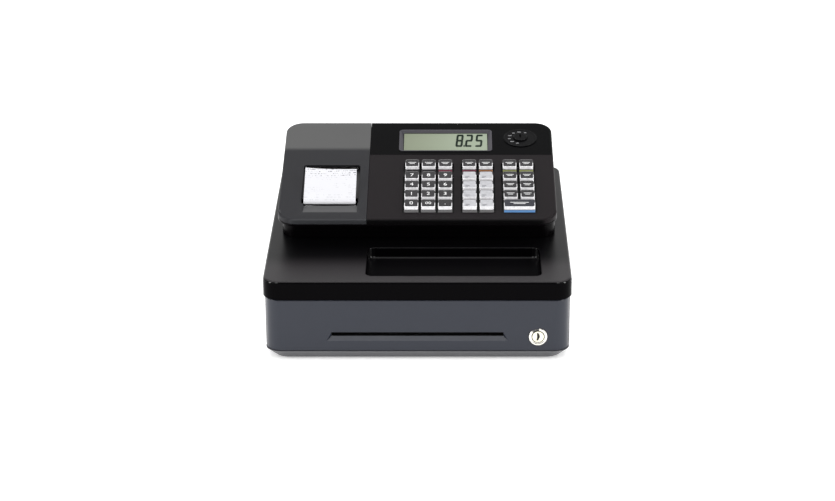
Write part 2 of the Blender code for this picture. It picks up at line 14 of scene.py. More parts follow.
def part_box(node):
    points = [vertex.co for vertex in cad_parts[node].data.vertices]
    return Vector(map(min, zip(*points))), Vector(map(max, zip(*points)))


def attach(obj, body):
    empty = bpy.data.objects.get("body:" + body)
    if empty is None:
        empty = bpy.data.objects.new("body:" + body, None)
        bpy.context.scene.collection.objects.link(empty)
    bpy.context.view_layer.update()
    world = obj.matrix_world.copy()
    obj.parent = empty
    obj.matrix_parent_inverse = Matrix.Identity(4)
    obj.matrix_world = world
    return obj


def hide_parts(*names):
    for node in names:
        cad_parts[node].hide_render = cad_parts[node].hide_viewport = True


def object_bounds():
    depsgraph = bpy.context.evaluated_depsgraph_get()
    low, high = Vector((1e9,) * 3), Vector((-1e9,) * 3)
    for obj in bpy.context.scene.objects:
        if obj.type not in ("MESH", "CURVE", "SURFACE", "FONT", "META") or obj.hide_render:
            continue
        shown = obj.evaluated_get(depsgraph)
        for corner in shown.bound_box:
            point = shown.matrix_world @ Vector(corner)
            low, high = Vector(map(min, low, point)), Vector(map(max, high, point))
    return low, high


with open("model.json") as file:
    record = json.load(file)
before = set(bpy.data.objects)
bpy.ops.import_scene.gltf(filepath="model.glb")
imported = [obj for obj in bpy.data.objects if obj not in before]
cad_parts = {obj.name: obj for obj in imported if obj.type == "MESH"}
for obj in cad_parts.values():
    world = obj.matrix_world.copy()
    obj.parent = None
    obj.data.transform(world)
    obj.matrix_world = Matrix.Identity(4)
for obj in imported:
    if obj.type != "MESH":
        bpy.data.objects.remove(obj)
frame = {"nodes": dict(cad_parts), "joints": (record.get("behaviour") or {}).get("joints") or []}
cad_low, cad_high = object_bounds()

# -------- sizes
JOINTS = {joint["name"]: joint for joint in frame["joints"]}
GAP = 0.0003                     # between pieces that touch
WALL = 0.0025                    # moulded wall
CASE_CORNER = 0.017
UNIT_CORNER = 0.020
CASE_LOW, CASE_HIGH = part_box("base_case")
COVER_LOW, COVER_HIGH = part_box("top_cover")
FRONT_LOW, FRONT_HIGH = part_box("drawer_front")
NECK_LOW, NECK_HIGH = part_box("unit_lower_case")
STRIP_TOP = 0.0123
STRIP_TAPER = 0.009
SLOT_HALF = 0.093                # half the media slot's length
SLOT_LOW = 0.0288
SLOT_HIGH = 0.0344
RAMP_HALF = 0.0985               # half the length of the ramp in front of the slot
RAMP_LOW = 0.0235
RAMP_DEPTH = 0.0030
NECK_LEAN = 0.3668               # how far the neck's back leans in for each metre up
RECESS_LOW = Vector((-0.056, -0.163, 0.0815))
RECESS_HIGH = Vector((0.134, -0.083, 0.100))
RECESS_CORNER = 0.008

# The sloped lid
NORMAL = Vector(JOINTS["mode_turn"]["axis"])
DIAL = Vector(JOINTS["mode_turn"]["pos_m"])
DIAL_UP = 0.1745                 # the switch's place up the slope
SLOPE = math.atan2(-NORMAL.y, NORMAL.z)
UP_SLOPE = Vector((0.0, math.cos(SLOPE), math.sin(SLOPE)))
LID_CORNER = Vector((0.0, DIAL.y, DIAL.z)) - UP_SLOPE * DIAL_UP
ON_SLOPE = Matrix.Translation(LID_CORNER) @ Matrix.Rotation(SLOPE, 4, "X")
LID_LEFT = NECK_LOW.x
LID_RIGHT = NECK_HIGH.x
LID_LENGTH = 0.212
LID_RIM = 0.0026
SKIRT = 0.0065
SPLIT = -0.057                   # between the printer cover and the keyboard side
BRIM = 0.1377                    # where the display section starts, up the slope
COVER_BRIM = 0.150               # where the painted sheen on the printer cover's back starts

# Keys
KEY = Vector((0.0178, 0.0186, 0.0063))
KEY_FOOT = -0.0012
KEY_ROWS = (0.0140, 0.0338, 0.0536, 0.0734)
KEY_TOP_ROW = 0.0995
CAP_SIDE = 0.0012                # how far a cap leans in at its sides, front and back
CAP_FRONT = 0.0024
CAP_BACK = 0.0008
CAP_RIM = 0.0005
CAP_SUNK = 0.00045               # how deep its top is sunk for the label
CAP_LOW = 0.0030                 # its flanks take the painted highlight from here
CAP_HIGH = 0.0048                # and all round from here
CAP_MIDDLE = 0.0012              # but not behind here
KEY_BLOCKS = {"left": (-0.0079, 0.0109, 0.0297), "middle": (0.0570, 0.0758), "right": (0.1028, 0.1218)}

# Display and switch
WINDOW = (Vector((-0.0237, 0.1451)), Vector((0.0837, 0.1930)))
WINDOW_RIM = 0.0010
SCREEN = (Vector((-0.0178, 0.1485)), Vector((0.0778, 0.1889)))
SCREEN_TOP = -0.0020             # depth of the screen in its window
DIAL_RADIUS = 0.0192
PLUG_RADIUS = 0.0082
RING_TOP = 0.0012
PLUG_TOP = 0.0030

# Printer
MOUTH = (Vector((-0.1312, 0.033)), Vector((-0.0671, 0.115)))
PAPER_X = Vector(JOINTS["paper_roll_spin"]["pos_m"]).x
PAPER_HALF = 0.029


# -------- modelling
def only(piece):
    """Make one piece the only one selected."""
    bpy.ops.object.select_all(action="DESELECT")
    piece.select_set(True)
    bpy.context.view_layer.objects.active = piece


def settle(piece):
    """Put a piece's place, turn and scale into its mesh."""
    only(piece)
    bpy.ops.object.transform_apply(location=True, rotation=True, scale=True)
    return piece


def block(name, low, high):
    """A box from its two far corners."""
    low = Vector(low)
    high = Vector(high)
    bpy.ops.object.select_all(action="DESELECT")
    bpy.ops.mesh.primitive_cube_add(size=1.0, location=(low + high) / 2.0)
    piece = bpy.context.object
    piece.name = name
    piece.scale = high - low
    return settle(piece)


def drum(name, radius, start, end, sides=48):
    """A cylinder between two points."""
    start = Vector(start)
    end = Vector(end)
    bpy.ops.object.select_all(action="DESELECT")
    bpy.ops.mesh.primitive_cylinder_add(vertices=sides, radius=radius, depth=(end - start).length,
                                        location=(start + end) / 2.0)
    piece = bpy.context.object
    piece.name = name
    piece.rotation_mode = "QUATERNION"
    piece.rotation_quaternion = Vector((0.0, 0.0, 1.0)).rotation_difference(end - start)
    return settle(piece)


def pick(piece, kind, test):
    """Open a piece for editing with only the elements that pass a test selected."""
    only(piece)
    bpy.ops.object.mode_set(mode="EDIT")
    bpy.ops.mesh.select_mode(type=kind)
    bpy.ops.mesh.select_all(action="DESELECT")
    mesh = bmesh.from_edit_mesh(piece.data)
    for element in {"VERT": mesh.verts, "EDGE": mesh.edges, "FACE": mesh.faces}[kind]:
        if test(element):
            element.select_set(True)
    mesh.select_flush_mode()
    bmesh.update_edit_mesh(piece.data)


def close():
    bpy.ops.object.mode_set(mode="OBJECT")


def middle(element):
    """The mean of an edge's or a face's corners."""
    return sum((vert.co for vert in element.verts), Vector()) / len(element.verts)


def upright(edge):
    run = edge.verts[1].co - edge.verts[0].co
    return abs(run.z) > 0.9 * run.length


def level_at(height):
    return lambda edge: all(abs(vert.co.z - height) < 1e-5 for vert in edge.verts)


def round_edges(piece, test, radius, segments=4):
    """Bevel the edges that pass a test."""
    pick(piece, "EDGE", test)
    bpy.ops.mesh.bevel(offset=radius, segments=segments, profile=0.5, affect="EDGES", clamp_overlap=True)
    close()
    return piece


def reshape(piece, test, change):
    """Move the vertices that pass a test."""
    for vert in piece.data.vertices:
        if test(vert.co):
            vert.co = change(vert.co)
    return piece


def modify(piece, kind, **settings):
    """Add a modifier and apply it."""
    modifier = piece.modifiers.new(kind.lower(), kind)
    for name, value in settings.items():
        setattr(modifier, name, value)
    only(piece)
    bpy.ops.object.modifier_apply(modifier=modifier.name)
    return piece


def carve(piece, *tools, operation="DIFFERENCE"):
    """Cut tools out of a piece, or join them on, and throw the tools away."""
    for tool in tools:
        modify(piece, "BOOLEAN", operation=operation, object=tool, solver="EXACT")
        bpy.data.objects.remove(tool)
    return piece


def soften(piece, radius, segments=3, angle=35.0):
    """Round every edge sharper than an angle."""
    return modify(piece, "BEVEL", width=radius, segments=segments, limit_method="ANGLE",
                  angle_limit=math.radians(angle), use_clamp_overlap=True, harden_normals=False)


def on_slope(piece):
    """Lay a piece on the sloped lid."""
    piece.data.transform(ON_SLOPE)
    return piece


def show(piece, look, body, *nodes, angle=40.0):
    """Shade a finished piece, give it its material and its body, and hide what it stands for."""
    only(piece)
    bpy.ops.object.shade_smooth_by_angle(angle=math.radians(angle))
    modify(piece, "WEIGHTED_NORMAL", keep_sharp=True, weight=60)
    if look is not None:
        piece.data.materials.clear()
        piece.data.materials.append(look.material)
    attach(piece, body)
    for node in nodes:
        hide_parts(node)
    return piece


def paint(piece, looks, *tests):
    """Give a piece its first look everywhere, and each later one on the faces that pass its test."""
    for look in looks:
        piece.data.materials.append(LOOKS[look].material)
    for index, test in enumerate(tests, 1):
        pick(piece, "FACE", test)
        piece.active_material_index = index
        bpy.ops.object.material_slot_assign()
        close()


def refined(node, name, radius, segments=2):
    """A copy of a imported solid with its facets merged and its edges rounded."""
    piece = bpy.data.objects.new(name, frame["nodes"][node].data.copy())
    bpy.context.scene.collection.objects.link(piece)
    pick(piece, "FACE", lambda face: True)
    bpy.ops.mesh.remove_doubles(threshold=0.00001)
    bpy.ops.mesh.dissolve_limited(angle_limit=math.radians(1.0))
    close()
    return soften(piece, radius, segments) if radius else piece


# -------- materials
class Wire:
    """A node's output that can stand in a sum; each sum adds a Math node."""

    def __init__(self, finish, socket):
        self.finish = finish
        self.socket = socket

    def _sum(self, operation, first, second):
        return self.finish.node("ShaderNodeMath", {"operation": operation}, first, second)

    def __add__(self, other):
        return self._sum("ADD", self, other)

    def __radd__(self, other):
        return self._sum("ADD", other, self)

    def __sub__(self, other):
        return self._sum("SUBTRACT", self, other)

    def __rsub__(self, other):
        return self._sum("SUBTRACT", other, self)

    def __mul__(self, other):
        return self._sum("MULTIPLY", self, other)

    def __rmul__(self, other):
        return self._sum("MULTIPLY", other, self)

    def __gt__(self, other):
        return self._sum("GREATER_THAN", self, other)

    def __lt__(self, other):
        return self._sum("LESS_THAN", self, other)


class Finish:
    """A Principled material, and the nodes that vary it over the surface."""

    def __init__(self, name, colour, roughness, **sockets):
        self.material = bpy.data.materials.new(name)
        self.material.use_nodes = True
        self.nodes = self.material.node_tree.nodes
        self.shader = self.nodes["Principled BSDF"]
        self.shader.inputs["Base Color"].default_value = (*colour, 1.0)
        self.shader.inputs["Roughness"].default_value = roughness
        for socket, value in sockets.items():
            self.shader.inputs[socket.replace("_", " ")].default_value = value

    def node(self, kind, settings, *values, output=0):
        """Add a node with its settings, feed its inputs in order, and return one output."""
        made = self.nodes.new(kind)
        for name, value in settings.items():
            setattr(made, name, value)
        inputs = [socket for socket in made.inputs if socket.enabled]
        for socket, value in zip(inputs, values):
            if value is not None:
                self.plug(socket, value)
        outputs = [socket for socket in made.outputs if socket.enabled]
        return Wire(self, outputs[output])

    def plug(self, socket, value):
        if isinstance(value, Wire):
            self.material.node_tree.links.new(value.socket, socket)
        else:
            socket.default_value = value

    def feed(self, socket, value):
        self.plug(self.shader.inputs[socket], value)

    def place(self):
        return self.node("ShaderNodeTexCoord", {}, output=3)

    def axis(self, index):
        return self.node("ShaderNodeSeparateXYZ", {}, self.place(), output=index)

    def up_slope(self):
        """Distance up the sloped lid from its front edge."""
        start = LID_CORNER.dot(UP_SLOPE)
        return self.axis(1) * UP_SLOPE.y + self.axis(2) * UP_SLOPE.z - start

    def step(self, value, low, high):
        """0 below low, 1 above high, and smooth between."""
        settings = {"interpolation_type": "SMOOTHSTEP"}
        return self.node("ShaderNodeMapRange", settings, value, low, high, 0.0, 1.0)

    def noise(self, scale, detail):
        return self.node("ShaderNodeTexNoise", {}, self.place(), scale, detail)

    def mix(self, factor, first, second):
        """Colours mixed by a factor."""
        first = (*first, 1.0) if isinstance(first, tuple) else first
        second = (*second, 1.0) if isinstance(second, tuple) else second
        return self.node("ShaderNodeMix", {"data_type": "RGBA"}, factor, first, second)

    def bump(self, height, distance):
        """A relief of a real height in metres."""
        made = self.nodes.new("ShaderNodeBump")
        made.inputs["Distance"].default_value = distance
        self.plug(made.inputs["Height"], height)
        self.feed("Normal", Wire(self, made.outputs[0]))


def shade(colour, factor):
    return tuple(channel * factor for channel in colour)


def moulded(name, colour, roughness, grain=2600.0, relief=0.000012, spread=0.10, **sockets):
    """Moulded plastic: a fine spark-eroded grain, faint cloudiness and uneven gloss."""
    finish = Finish(name, colour, roughness, **sockets)
    cloud = finish.noise(14.0, 4.0)
    finish.feed("Base Color", finish.mix(cloud, shade(colour, 1.0 - spread), shade(colour, 1.0 + spread)))
    finish.feed("Roughness", roughness + 0.10 * (finish.noise(55.0, 5.0) - 0.5))
    if relief:
        finish.bump(finish.noise(grain, 2.0), relief)
    return finish


def cover_black():
    """Glossy black top of the drawer case's lid, with a painted sheen on its top towards the front edge."""
    finish = Finish("cover_black", (0.0016, 0.0014, 0.0018), 0.2, Specular_IOR_Level=0.15)
    smear = finish.noise(9.0, 5.0) - 0.5
    # Painted sheen: the top is painted lighter near its front edge, fading to black towards the neck.
    painted_sheen = 1.0 - finish.step(finish.axis(1), COVER_LOW.y + 0.037, COVER_LOW.y + 0.077)
    level = finish.step(finish.axis(2), COVER_HIGH.z - 0.0020, COVER_HIGH.z - 0.0004)
    finish.feed("Base Color", finish.mix(painted_sheen * level, (0.0016, 0.0014, 0.0018), (0.0215, 0.0195, 0.0212)))
    finish.feed("Roughness", 0.34 + 0.06 * smear)
    finish.bump(finish.noise(1800.0, 2.0), 0.000004)
    return finish


def keyboard_black():
    """Satin warm black of the keyboard section, glossy black round the display, and painted shade on its
    front band and rim.
    """
    finish = Finish("keyboard_black", (0.02, 0.018, 0.019), 0.3, Specular_IOR_Level=0.08)
    rise = finish.up_slope()
    back = finish.step(rise, BRIM, BRIM + 0.0008)
    # Painted shade: the lid's front band and rounded rim are darker than its top.
    nose = finish.step(rise, 0.0002, 0.0014)
    top = finish.mix(back, (0.0082, 0.0062, 0.0072), (0.0012, 0.0012, 0.0015))
    finish.feed("Base Color", finish.mix(nose, (0.0020, 0.0018, 0.0020), top))
    finish.feed("Roughness", 0.42 - 0.27 * back + 0.05 * (finish.noise(30.0, 4.0) - 0.5))
    finish.bump(finish.noise(2400.0, 2.0) * (1.0 - back), 0.000008)
    return finish


def cover_grey():
    """Fine-textured dark grey of the printer cover, painted lighter behind its brim as a painted sheen, and
    with a painted highlight on its nose.
    """
    finish = Finish("cover_grey", (0.05, 0.05, 0.052), 0.5, Specular_IOR_Level=0.22)
    # Painted sheen: the cover's top is lighter behind the brim.
    back = finish.step(finish.up_slope(), COVER_BRIM - 0.004, COVER_BRIM + 0.006)
    grain = finish.noise(3200.0, 2.0)
    cloud = 0.12 * (finish.noise(20.0, 4.0) - 0.5)
    # Painted highlight: the front band and rounded nose are lighter than the top in front of the brim.
    nose = finish.step(finish.up_slope(), 0.0004, 0.0020)
    top = finish.mix(back + cloud, (0.0105, 0.0105, 0.0130), (0.0760, 0.0760, 0.0760))
    finish.feed("Base Color", finish.mix(nose, (0.0300, 0.0310, 0.0340), top))
    finish.feed("Roughness", 0.50 + 0.08 * (grain - 0.5))
    finish.bump(grain, 0.000015)
    return finish


def slate():
    """Satin slate of the drawer front, with a very fine grain."""
    return moulded("slate", (0.0150, 0.0178, 0.0275), 0.30, grain=2800.0, relief=0.000006, spread=0.04,
                   Specular_IOR_Level=0.35)


def case_grey():
    """Textured dark grey of the case's sides, lighter on the strip round its foot, with a painted highlight
    along the strip's top edge.
    """
    finish = Finish("case_grey", (0.05, 0.05, 0.055), 0.45, Specular_IOR_Level=0.30)
    side = finish.step(finish.axis(2), STRIP_TOP - 0.0004, STRIP_TOP + 0.0004)
    # Painted highlight: the strip is lighter towards its top edge.
    edge = finish.step(finish.axis(2), STRIP_TOP - 0.0022, STRIP_TOP - 0.0006)
    strip = finish.mix(edge, (0.0720, 0.0730, 0.0780), (0.1150, 0.1160, 0.1220))
    finish.feed("Base Color", finish.mix(side, strip, (0.0330, 0.0345, 0.0400)))
    finish.feed("Roughness", 0.42 + 0.08 * (finish.noise(40.0, 4.0) - 0.5))
    finish.bump(finish.noise(2400.0, 2.0) * side, 0.000014)
    return finish


def brushed(name, colour, roughness, stretch):
    """Bright metal with fine scratches along one way."""
    finish = Finish(name, colour, roughness, Metallic=1.0)
    scaled = finish.node("ShaderNodeMapping", {}, finish.place(), None, None, stretch)
    lines = finish.node("ShaderNodeTexNoise", {}, scaled, 900.0, 3.0, 0.6)
    finish.feed("Roughness", roughness - 0.08 + 0.16 * lines)
    finish.feed("Base Color", finish.mix(lines, shade(colour, 0.88), colour))
    finish.bump(lines, 0.000003)
    return finish


def clear_cap(name, colour):
    """Clear moulded key cap, in a bright copy for painted highlight on its edges and a dark copy for painted
    shade.
    """
    finish = Finish(name, colour, 0.12, Coat_Weight=0.6, Coat_Roughness=0.05)
    streak = finish.noise(420.0, 2.0)
    finish.feed("Base Color", finish.mix(streak, shade(colour, 0.55), shade(colour, 1.15)))
    finish.feed("Roughness", 0.10 + 0.15 * streak)
    return finish


def label(name, colour):
    """Printed card under a key cap."""
    finish = Finish(name, colour, 0.25, Coat_Weight=0.3, Coat_Roughness=0.08)
    finish.feed("Base Color", finish.mix(finish.noise(260.0, 3.0), shade(colour, 0.75), shade(colour, 1.25)))
    return finish


def screen_glass():
    """Grey-green display, with painted shade that darkens it towards its left end, and a faint dot grid."""
    finish = Finish("screen_glass", (0.34, 0.40, 0.30), 0.18, Coat_Weight=0.5, Coat_Roughness=0.03)
    # Painted shade: the screen's colour darkens towards its left end.
    across = finish.step(finish.axis(0), SCREEN[0].x - 0.01, SCREEN[1].x)
    rows = finish.node("ShaderNodeTexWave", {"bands_direction": "X"}, finish.place(), 900.0)
    green = finish.mix(across, (0.200, 0.225, 0.155), (0.285, 0.335, 0.250))
    finish.feed("Base Color", finish.mix(rows * 0.08, green, (0.22, 0.27, 0.20)))
    return finish


def receipt_paper():
    """Thermal paper with faint grey rows of print that can't be read."""
    finish = Finish("receipt_paper", (0.80, 0.80, 0.82), 0.55, Specular_IOR_Level=0.10)
    rise = finish.up_slope()
    pitch = 0.0033
    row = finish.node("ShaderNodeMath", {"operation": "FRACT"}, rise * (1.0 / pitch))
    in_row = (row > 0.30) * (row < 0.62)
    cells = finish.node("ShaderNodeMapping", {}, finish.place(), None, None, (620.0, 300.0, 1.0))
    broken = finish.node("ShaderNodeTexNoise", {}, cells, 1.0, 1.0, 0.5) > 0.53
    patch = finish.node("ShaderNodeTexNoise", {}, finish.place(), 75.0, 1.0, 0.5) > 0.52
    heading = finish.step(rise, 0.074, 0.078)
    ink = in_row * broken * (0.22 * patch + 0.85 * heading * (finish.noise(120.0, 1.0) > 0.42))
    finish.feed("Base Color", finish.mix(ink, (0.60, 0.60, 0.625), (0.06, 0.06, 0.08)))
    finish.bump(finish.noise(900.0, 3.0), 0.00001)
    return finish


def roll_paper():
    """Wound paper: tight rings on the ends of the roll."""
    finish = Finish("roll_paper", (0.80, 0.80, 0.78), 0.6)
    axis = Vector(JOINTS["paper_roll_spin"]["pos_m"])
    from_axis = finish.node("ShaderNodeVectorMath", {"operation": "DISTANCE"}, finish.node(
        "ShaderNodeCombineXYZ", {}, axis.x, finish.axis(1), finish.axis(2)), tuple(axis), output=0)
    ring = finish.node("ShaderNodeMath", {"operation": "SINE"}, from_axis * 16000.0)
    finish.feed("Base Color", finish.mix(0.5 + 0.5 * ring, (0.70, 0.70, 0.68), (0.84, 0.84, 0.82)))
    finish.bump(ring, 0.00003)
    return finish


def circuit_board():
    """Green lacquered board with lighter tracks."""
    finish = Finish("circuit_board", (0.004, 0.008, 0.006), 0.4, Specular_IOR_Level=0.2)
    tracks = finish.node("ShaderNodeTexBrick", {}, finish.place(), (1, 1, 1, 1), (1, 1, 1, 1), (0, 0, 0, 1),
                         160.0, output=1)
    finish.feed("Base Color", finish.mix(tracks, (0.003, 0.006, 0.005), (0.012, 0.022, 0.016)))
    return finish


def card_core():
    """Grey-brown card of the roll's core."""
    return moulded("card_core", (0.30, 0.22, 0.14), 0.8, grain=900.0, relief=0.00004, spread=0.2)


LOOKS = {
    "cover_black": cover_black(),
    # A darker, less glossy copy of the lid's black for its sides: painted shade.
    "lip_painted_shade": moulded("lip_painted_shade", (0.0009, 0.0007, 0.0010), 0.12, relief=0.0, Specular_IOR_Level=0.025),
    # A glossier copy of the black for corner faces: painted glints.
    "corner_painted_glint": moulded("corner_painted_glint", (0.0009, 0.0007, 0.0010), 0.05, relief=0.0,
                            Specular_IOR_Level=0.30),
    "keyboard_black": keyboard_black(),
    "cover_grey": cover_grey(),
    # A lighter copy of the printer cover's grey for its ramp: painted sheen.
    "ramp_painted_sheen": moulded("ramp_painted_sheen", (0.060, 0.060, 0.062), 0.45, Specular_IOR_Level=0.22),
    "slate": slate(),
    "case_grey": case_grey(),
    "neck_black": moulded("neck_black", (0.0016, 0.0012, 0.0016), 0.25, relief=0.0, Specular_IOR_Level=0.05),
    "inner_grey": moulded("inner_grey", (0.060, 0.060, 0.062), 0.55),
    "inner_black": moulded("inner_black", (0.012, 0.012, 0.013), 0.45),
    "frame_grey": moulded("frame_grey", (0.052, 0.049, 0.058), 0.35, spread=0.05, Specular_IOR_Level=0.25),
    "dial_black": moulded("dial_black", (0.0030, 0.0030, 0.0034), 0.22, relief=0.0, Specular_IOR_Level=0.10),
    "window_black": moulded("window_black", (0.0050, 0.0050, 0.0060), 0.06, relief=0.0),
    # Bright and dark copies of the clear cap: painted highlight on rims and lips, painted shade on flanks,
    # backs and feet.
    "cap_painted_highlight": clear_cap("cap_painted_highlight", (0.90, 0.89, 0.91)),
    "cap_painted_shade": clear_cap("cap_painted_shade", (0.050, 0.047, 0.050)),
    "label_grey": label("label_grey", (0.014, 0.013, 0.015)),
    "label_white": label("label_white", (0.42, 0.42, 0.44)),
    "label_navy": label("label_navy", (0.014, 0.015, 0.024)),
    "print_white": moulded("print_white", (0.80, 0.80, 0.80), 0.4, relief=0.0),
    "print_dim": moulded("print_dim", (0.30, 0.30, 0.31), 0.4, relief=0.0),
    "print_grey": moulded("print_grey", (0.05, 0.05, 0.06), 0.4, relief=0.0),
    "strip_red": moulded("strip_red", (0.20, 0.05, 0.075), 0.3, relief=0.0),
    "strip_orange": moulded("strip_orange", (0.36, 0.15, 0.06), 0.3, relief=0.0),
    "strip_lime": moulded("strip_lime", (0.27, 0.29, 0.10), 0.3, relief=0.0),
    "strip_blue": moulded("strip_blue", (0.07, 0.21, 0.46), 0.3, relief=0.0),
    "screen_glass": screen_glass(),
    "digit_ink": moulded("digit_ink", (0.006, 0.014, 0.008), 0.4, relief=0.0, Specular_IOR_Level=0.1),
    "nickel": brushed("nickel", (0.80, 0.78, 0.72), 0.22, (1.0, 8.0, 1.0)),
    "steel": brushed("steel", (0.60, 0.60, 0.61), 0.32, (8.0, 1.0, 8.0)),
    "cream_metal": brushed("cream_metal", (0.86, 0.83, 0.66), 0.30, (1.0, 8.0, 1.0)),
    # Black for the dark fills in the lock: painted shade.
    "painted_shade_black": moulded("painted_shade_black", (0.004, 0.004, 0.004), 0.6, relief=0.0),
    "rubber": moulded("rubber", (0.014, 0.014, 0.014), 0.75, grain=1200.0, relief=0.00003),
    "receipt_paper": receipt_paper(),
    "roll_paper": roll_paper(),
    "card_core": card_core(),
    "circuit_board": circuit_board(),
}


# -------- drawer case
def base_shell():
    """Tub with the tapered strip round its foot, open in front for the drawer."""
    shell = block("base_shell", (CASE_LOW.x, CASE_LOW.y, 0.002), CASE_HIGH)
    round_edges(shell, upright, CASE_CORNER, 12)
    pick(shell, "FACE", lambda face: True)
    bpy.ops.mesh.bisect(plane_co=(0.0, 0.0, STRIP_TOP), plane_no=(0.0, 0.0, 1.0))
    close()
    half = Vector((CASE_HIGH.x, CASE_HIGH.y, 1.0))
    reshape(shell, lambda co: co.z < 0.003, lambda co: Vector(
        (co.x * (1.0 - STRIP_TAPER / half.x), co.y * (1.0 - STRIP_TAPER / half.y), co.z)))
    wrap_back = FRONT_HIGH.y + GAP
    inner = block("inner", (-0.162, -0.177, 0.010), (0.162, 0.177, 0.100))
    round_edges(inner, upright, 0.014, 10)
    mouth = block("mouth", (-0.2, -0.2, STRIP_TOP), (0.2, wrap_back, 0.1))
    under = block("under", (-0.150, -0.165, -0.001), (0.150, 0.165, 0.006))
    round_edges(under, upright, 0.010, 6)
    socket = block("socket", (0.108, 0.160, 0.030), (0.128, 0.200, 0.046))
    carve(shell, inner, mouth, under, socket)
    for side in (-1.0, 1.0):
        runner = block("runner", (side * 0.120 - 0.003, -0.150, 0.008), (side * 0.120 + 0.003, 0.165, 0.0127))
        carve(shell, runner, operation="UNION")
    soften(shell, 0.0005, 2)
    show(shell, LOOKS["case_grey"], "case", "base_case")


def foot_pads():
    """Four round rubber feet."""
    low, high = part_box("base_case")
    for index, (x, y) in enumerate(((-0.141, -0.155), (0.141, -0.155), (-0.141, 0.155), (0.141, 0.155))):
        pad = drum("foot_pad_%d" % (index + 1), 0.009, (x, y, low.z), (x, y, 0.0062), 40)
        round_edges(pad, level_at(low.z), 0.0008, 3)
        show(pad, LOOKS["rubber"], "case")


def cover_shell():
    """Black lid of the drawer case with its recess for cards and coins."""
    shell = block("cover_shell", COVER_LOW, COVER_HIGH)
    round_edges(shell, upright, CASE_CORNER, 12)
    round_edges(shell, level_at(COVER_HIGH.z), 0.003, 6)
    hollow = block("hollow", (COVER_LOW.x + WALL, COVER_LOW.y + WALL, 0.060),
                   (COVER_HIGH.x - WALL, COVER_HIGH.y - WALL, COVER_HIGH.z - 0.003))
    round_edges(hollow, upright, CASE_CORNER - WALL, 10)
    pan = block("pan", RECESS_LOW - Vector((WALL, WALL, WALL)),
                (RECESS_HIGH.x + WALL, RECESS_HIGH.y + WALL, COVER_HIGH.z - 0.001))
    round_edges(pan, upright, RECESS_CORNER + WALL, 8)
    recess = block("recess", RECESS_LOW, RECESS_HIGH)
    round_edges(recess, upright, RECESS_CORNER, 10)
    round_edges(recess, level_at(RECESS_LOW.z), 0.0035, 5)
    carve(shell, hollow)
    carve(shell, pan, operation="UNION")
    carve(shell, recess)

    def recess_rim(edge):
        at = middle(edge)
        across = RECESS_LOW.x - 0.001 < at.x < RECESS_HIGH.x + 0.001
        along = RECESS_LOW.y - 0.001 < at.y < RECESS_HIGH.y + 0.001
        return across and along and level_at(COVER_HIGH.z)(edge)

    round_edges(shell, recess_rim, 0.0009, 3)
    round_edges(shell, level_at(COVER_LOW.z), 0.0004, 2)

    # Side faces take the darker copy of the black, a painted shade.
    def side(face):
        return face.normal.z < 0.7

    # Corner faces take the glossier copy of the black, for painted glints.
    def corner(face):
        at = middle(face)
        inside = RECESS_LOW.x - 0.001 < at.x < RECESS_HIGH.x + 0.001 and RECESS_LOW.y - 0.001 < at.y
        low, high, reach = COVER_LOW, COVER_HIGH, CASE_CORNER
        if inside:
            low, high, reach = RECESS_LOW, RECESS_HIGH, RECESS_CORNER - 0.0002
        near = min(at.x - low.x, high.x - at.x) < reach and min(at.y - low.y, high.y - at.y) < reach
        return side(face) and near and (inside or face.normal.z > 0.15)

    paint(shell, ("cover_black", "lip_painted_shade", "corner_painted_glint"), side, corner)
    show(shell, None, "case", "top_cover")


# -------- drawer
def front_panel():
    """Slate drawer front that wraps both corners, with its media slot and ramp."""
    panel = block("front_panel", FRONT_LOW, FRONT_HIGH)
    round_edges(panel, lambda edge: upright(edge) and middle(edge).y < -0.17, CASE_CORNER - 0.0005, 14)
    round_edges(panel, lambda edge: level_at(FRONT_HIGH.z)(edge) and middle(edge).y < -0.1585, 0.0012, 4)
    hollow = block("hollow", (FRONT_LOW.x + 0.0065, -0.170, 0.0), (FRONT_HIGH.x - 0.0065, -0.140, 0.0675))
    slot = block("slot", (-SLOT_HALF, -0.190, SLOT_LOW), (SLOT_HALF, -0.165, SLOT_HIGH))
    front = FRONT_LOW.y
    ramp = block("ramp", (-RAMP_HALF, front - 0.0005, RAMP_LOW), (RAMP_HALF, front + RAMP_DEPTH, SLOT_HIGH))
    for vert in ramp.data.vertices:
        inside = vert.co.y > front
        above = vert.co.z > 0.03
        if inside and not above:
            vert.co.z = SLOT_LOW
        if inside or above:
            vert.co.x = math.copysign(SLOT_HALF + 0.0001, vert.co.x)
    lock = Vector(JOINTS["lock_turn"]["pos_m"])
    bore = drum("bore", 0.0086, (lock.x, -0.190, lock.z), (lock.x, -0.165, lock.z), 64)
    carve(panel, hollow, slot, ramp, bore)

    def slot_edge(edge):
        at = middle(edge)
        near = abs(at.x) < RAMP_HALF + 0.0005 and 0.023 < at.z < 0.035 and at.y < -0.1705
        return near and len(edge.link_faces) == 2 and edge.calc_face_angle(0.0) > math.radians(20.0)

    round_edges(panel, slot_edge, 0.0007, 3)

    # Faces inside the slot are painted black: painted shade.
    def slot_painted_shade(face):
        at = middle(face)
        return abs(at.x) < SLOT_HALF + 0.0005 and SLOT_LOW - GAP < at.z < SLOT_HIGH + 0.0002 \
            and front + RAMP_DEPTH < at.y < -0.1690

    paint(panel, ("slate", "inner_black"), slot_painted_shade)
    show(panel, None, "drawer", "drawer_front")


